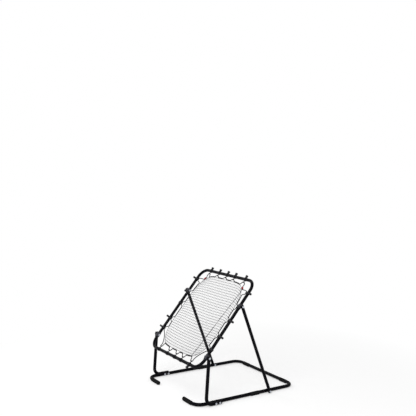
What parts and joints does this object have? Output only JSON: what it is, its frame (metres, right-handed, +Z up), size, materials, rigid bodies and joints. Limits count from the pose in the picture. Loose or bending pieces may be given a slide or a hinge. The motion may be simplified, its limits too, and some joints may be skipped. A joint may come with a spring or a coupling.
{
  "type": "multi-sport rebounder",
  "caption": "Free-standing sports rebounder: an elastic-laced net in a tilted square tube frame, held by front posts and rear struts on an open C-shaped floor frame, with adjustable tilt.",
  "frame": {"origin": "on the floor, in the middle of the base", "axes": "+X to the right seen from the front, +Y to the rear, +Z up; the front is the open side of the base, under the net's low end"},
  "size_m": [1.1042, 1.2308, 1.1858],
  "materials": {
    "black_tube": "satin black powder coat with a bluish sheen",
    "black_plastic": "matt black moulded plastic",
    "grey_plastic": "matt dark grey moulded plastic",
    "black_rubber": "matt black rubber",
    "zinc_steel": "bright zinc plate, with black domed heads on the bolts",
    "elastic_cord": "woven black elastic cord",
    "red_plastic": "red plastic",
    "net_twine": "thin dark grey knotted twine that reads as a pale grey veil from a distance"
  },
  "bodies": {
    "base": {"rear_base_tube": "black_tube", "left_front_base_tube": "black_tube", "left_hook_boot": "black_rubber", "left_rail_foot": "black_rubber", "left_rear_foot": "black_rubber", "left_post": "black_tube", "left_post_top_cap": "black_plastic", "left_front_post_foot_bolt": "zinc_steel", "left_rear_post_foot_bolt": "zinc_steel", "left_strut_foot_bolt": "zinc_steel", "left_pivot_bolt": "zinc_steel", "right_front_base_tube": "black_tube", "right_hook_boot": "black_rubber", "right_rail_foot": "black_rubber", "right_rear_foot": "black_rubber", "right_post": "black_tube", "right_post_top_cap": "black_plastic", "right_front_post_foot_bolt": "zinc_steel", "right_rear_post_foot_bolt": "zinc_steel", "right_strut_foot_bolt": "zinc_steel", "right_pivot_bolt": "zinc_steel"},
    "net_frame": {"net_frame": "black_tube", "left_pivot_collar": "grey_plastic", "right_pivot_collar": "grey_plastic", "net": "net_twine", "top_lacing_cord": "elastic_cord", "lower_lacing_cord": "elastic_cord", "left_cord_ferrule": "red_plastic", "right_cord_ferrule": "red_plastic", "top_net_hook_1": "black_plastic", "top_net_hook_2": "black_plastic", "top_net_hook_3": "black_plastic", "top_net_hook_4": "black_plastic", "top_net_hook_5": "black_plastic", "left_net_hook_1": "black_plastic", "left_net_hook_2": "black_plastic", "left_net_hook_3": "black_plastic", "left_net_hook_4": "black_plastic", "left_net_hook_5": "black_plastic", "bottom_net_hook_1": "black_plastic", "bottom_net_hook_2": "black_plastic", "bottom_net_hook_3": "black_plastic", "bottom_net_hook_4": "black_plastic", "bottom_net_hook_5": "black_plastic", "right_net_hook_1": "black_plastic", "right_net_hook_2": "black_plastic", "right_net_hook_3": "black_plastic", "right_net_hook_4": "black_plastic", "right_net_hook_5": "black_plastic"},
    "left_collar": {"left_strut_collar": "grey_plastic", "left_strut_top_bolt": "black_plastic", "left_collar_lock_screw": "zinc_steel"},
    "left_strut": {"left_strut": "black_tube", "left_strut_top_cap": "black_plastic"},
    "right_collar": {"right_strut_collar": "grey_plastic", "right_strut_top_bolt": "zinc_steel", "right_collar_lock_screw": "black_plastic"},
    "right_strut": {"right_strut": "black_tube", "right_strut_top_cap": "black_plastic"}
  },
  "joints": [
    {"name": "frame_tilt", "type": "hinge", "parent": "base", "child": "net_frame", "pos_m": [0, -0.485, 0.468], "axis": [1, 0, 0], "range_deg": [-5.5, 0]},
    {"name": "left_collar_slide", "type": "slide", "parent": "net_frame", "child": "left_collar", "axis": [0, 0.6428, 0.766], "range_m": [0, 0.112]},
    {"name": "left_strut_swing", "type": "hinge", "parent": "base", "child": "left_strut", "pos_m": [-0.5238, 0.2575, 0.019], "axis": [1, 0, 0], "range_deg": [-7.6, 0]},
    {"name": "right_collar_slide", "type": "slide", "parent": "net_frame", "child": "right_collar", "axis": [0, 0.6428, 0.766], "range_m": [0, 0.112]},
    {"name": "right_strut_swing", "type": "hinge", "parent": "base", "child": "right_strut", "pos_m": [0.5238, 0.2575, 0.019], "axis": [1, 0, 0], "range_deg": [-7.6, 0]}
  ],
  "couplings": [
    {"joint": "left_collar_slide", "follows": "frame_tilt", "m_per_rad": -1.1539},
    {"joint": "left_strut_swing", "follows": "frame_tilt", "ratio": 1.3555},
    {"joint": "right_collar_slide", "follows": "frame_tilt", "m_per_rad": -1.1539},
    {"joint": "right_strut_swing", "follows": "frame_tilt", "ratio": 1.3555}
  ]
}
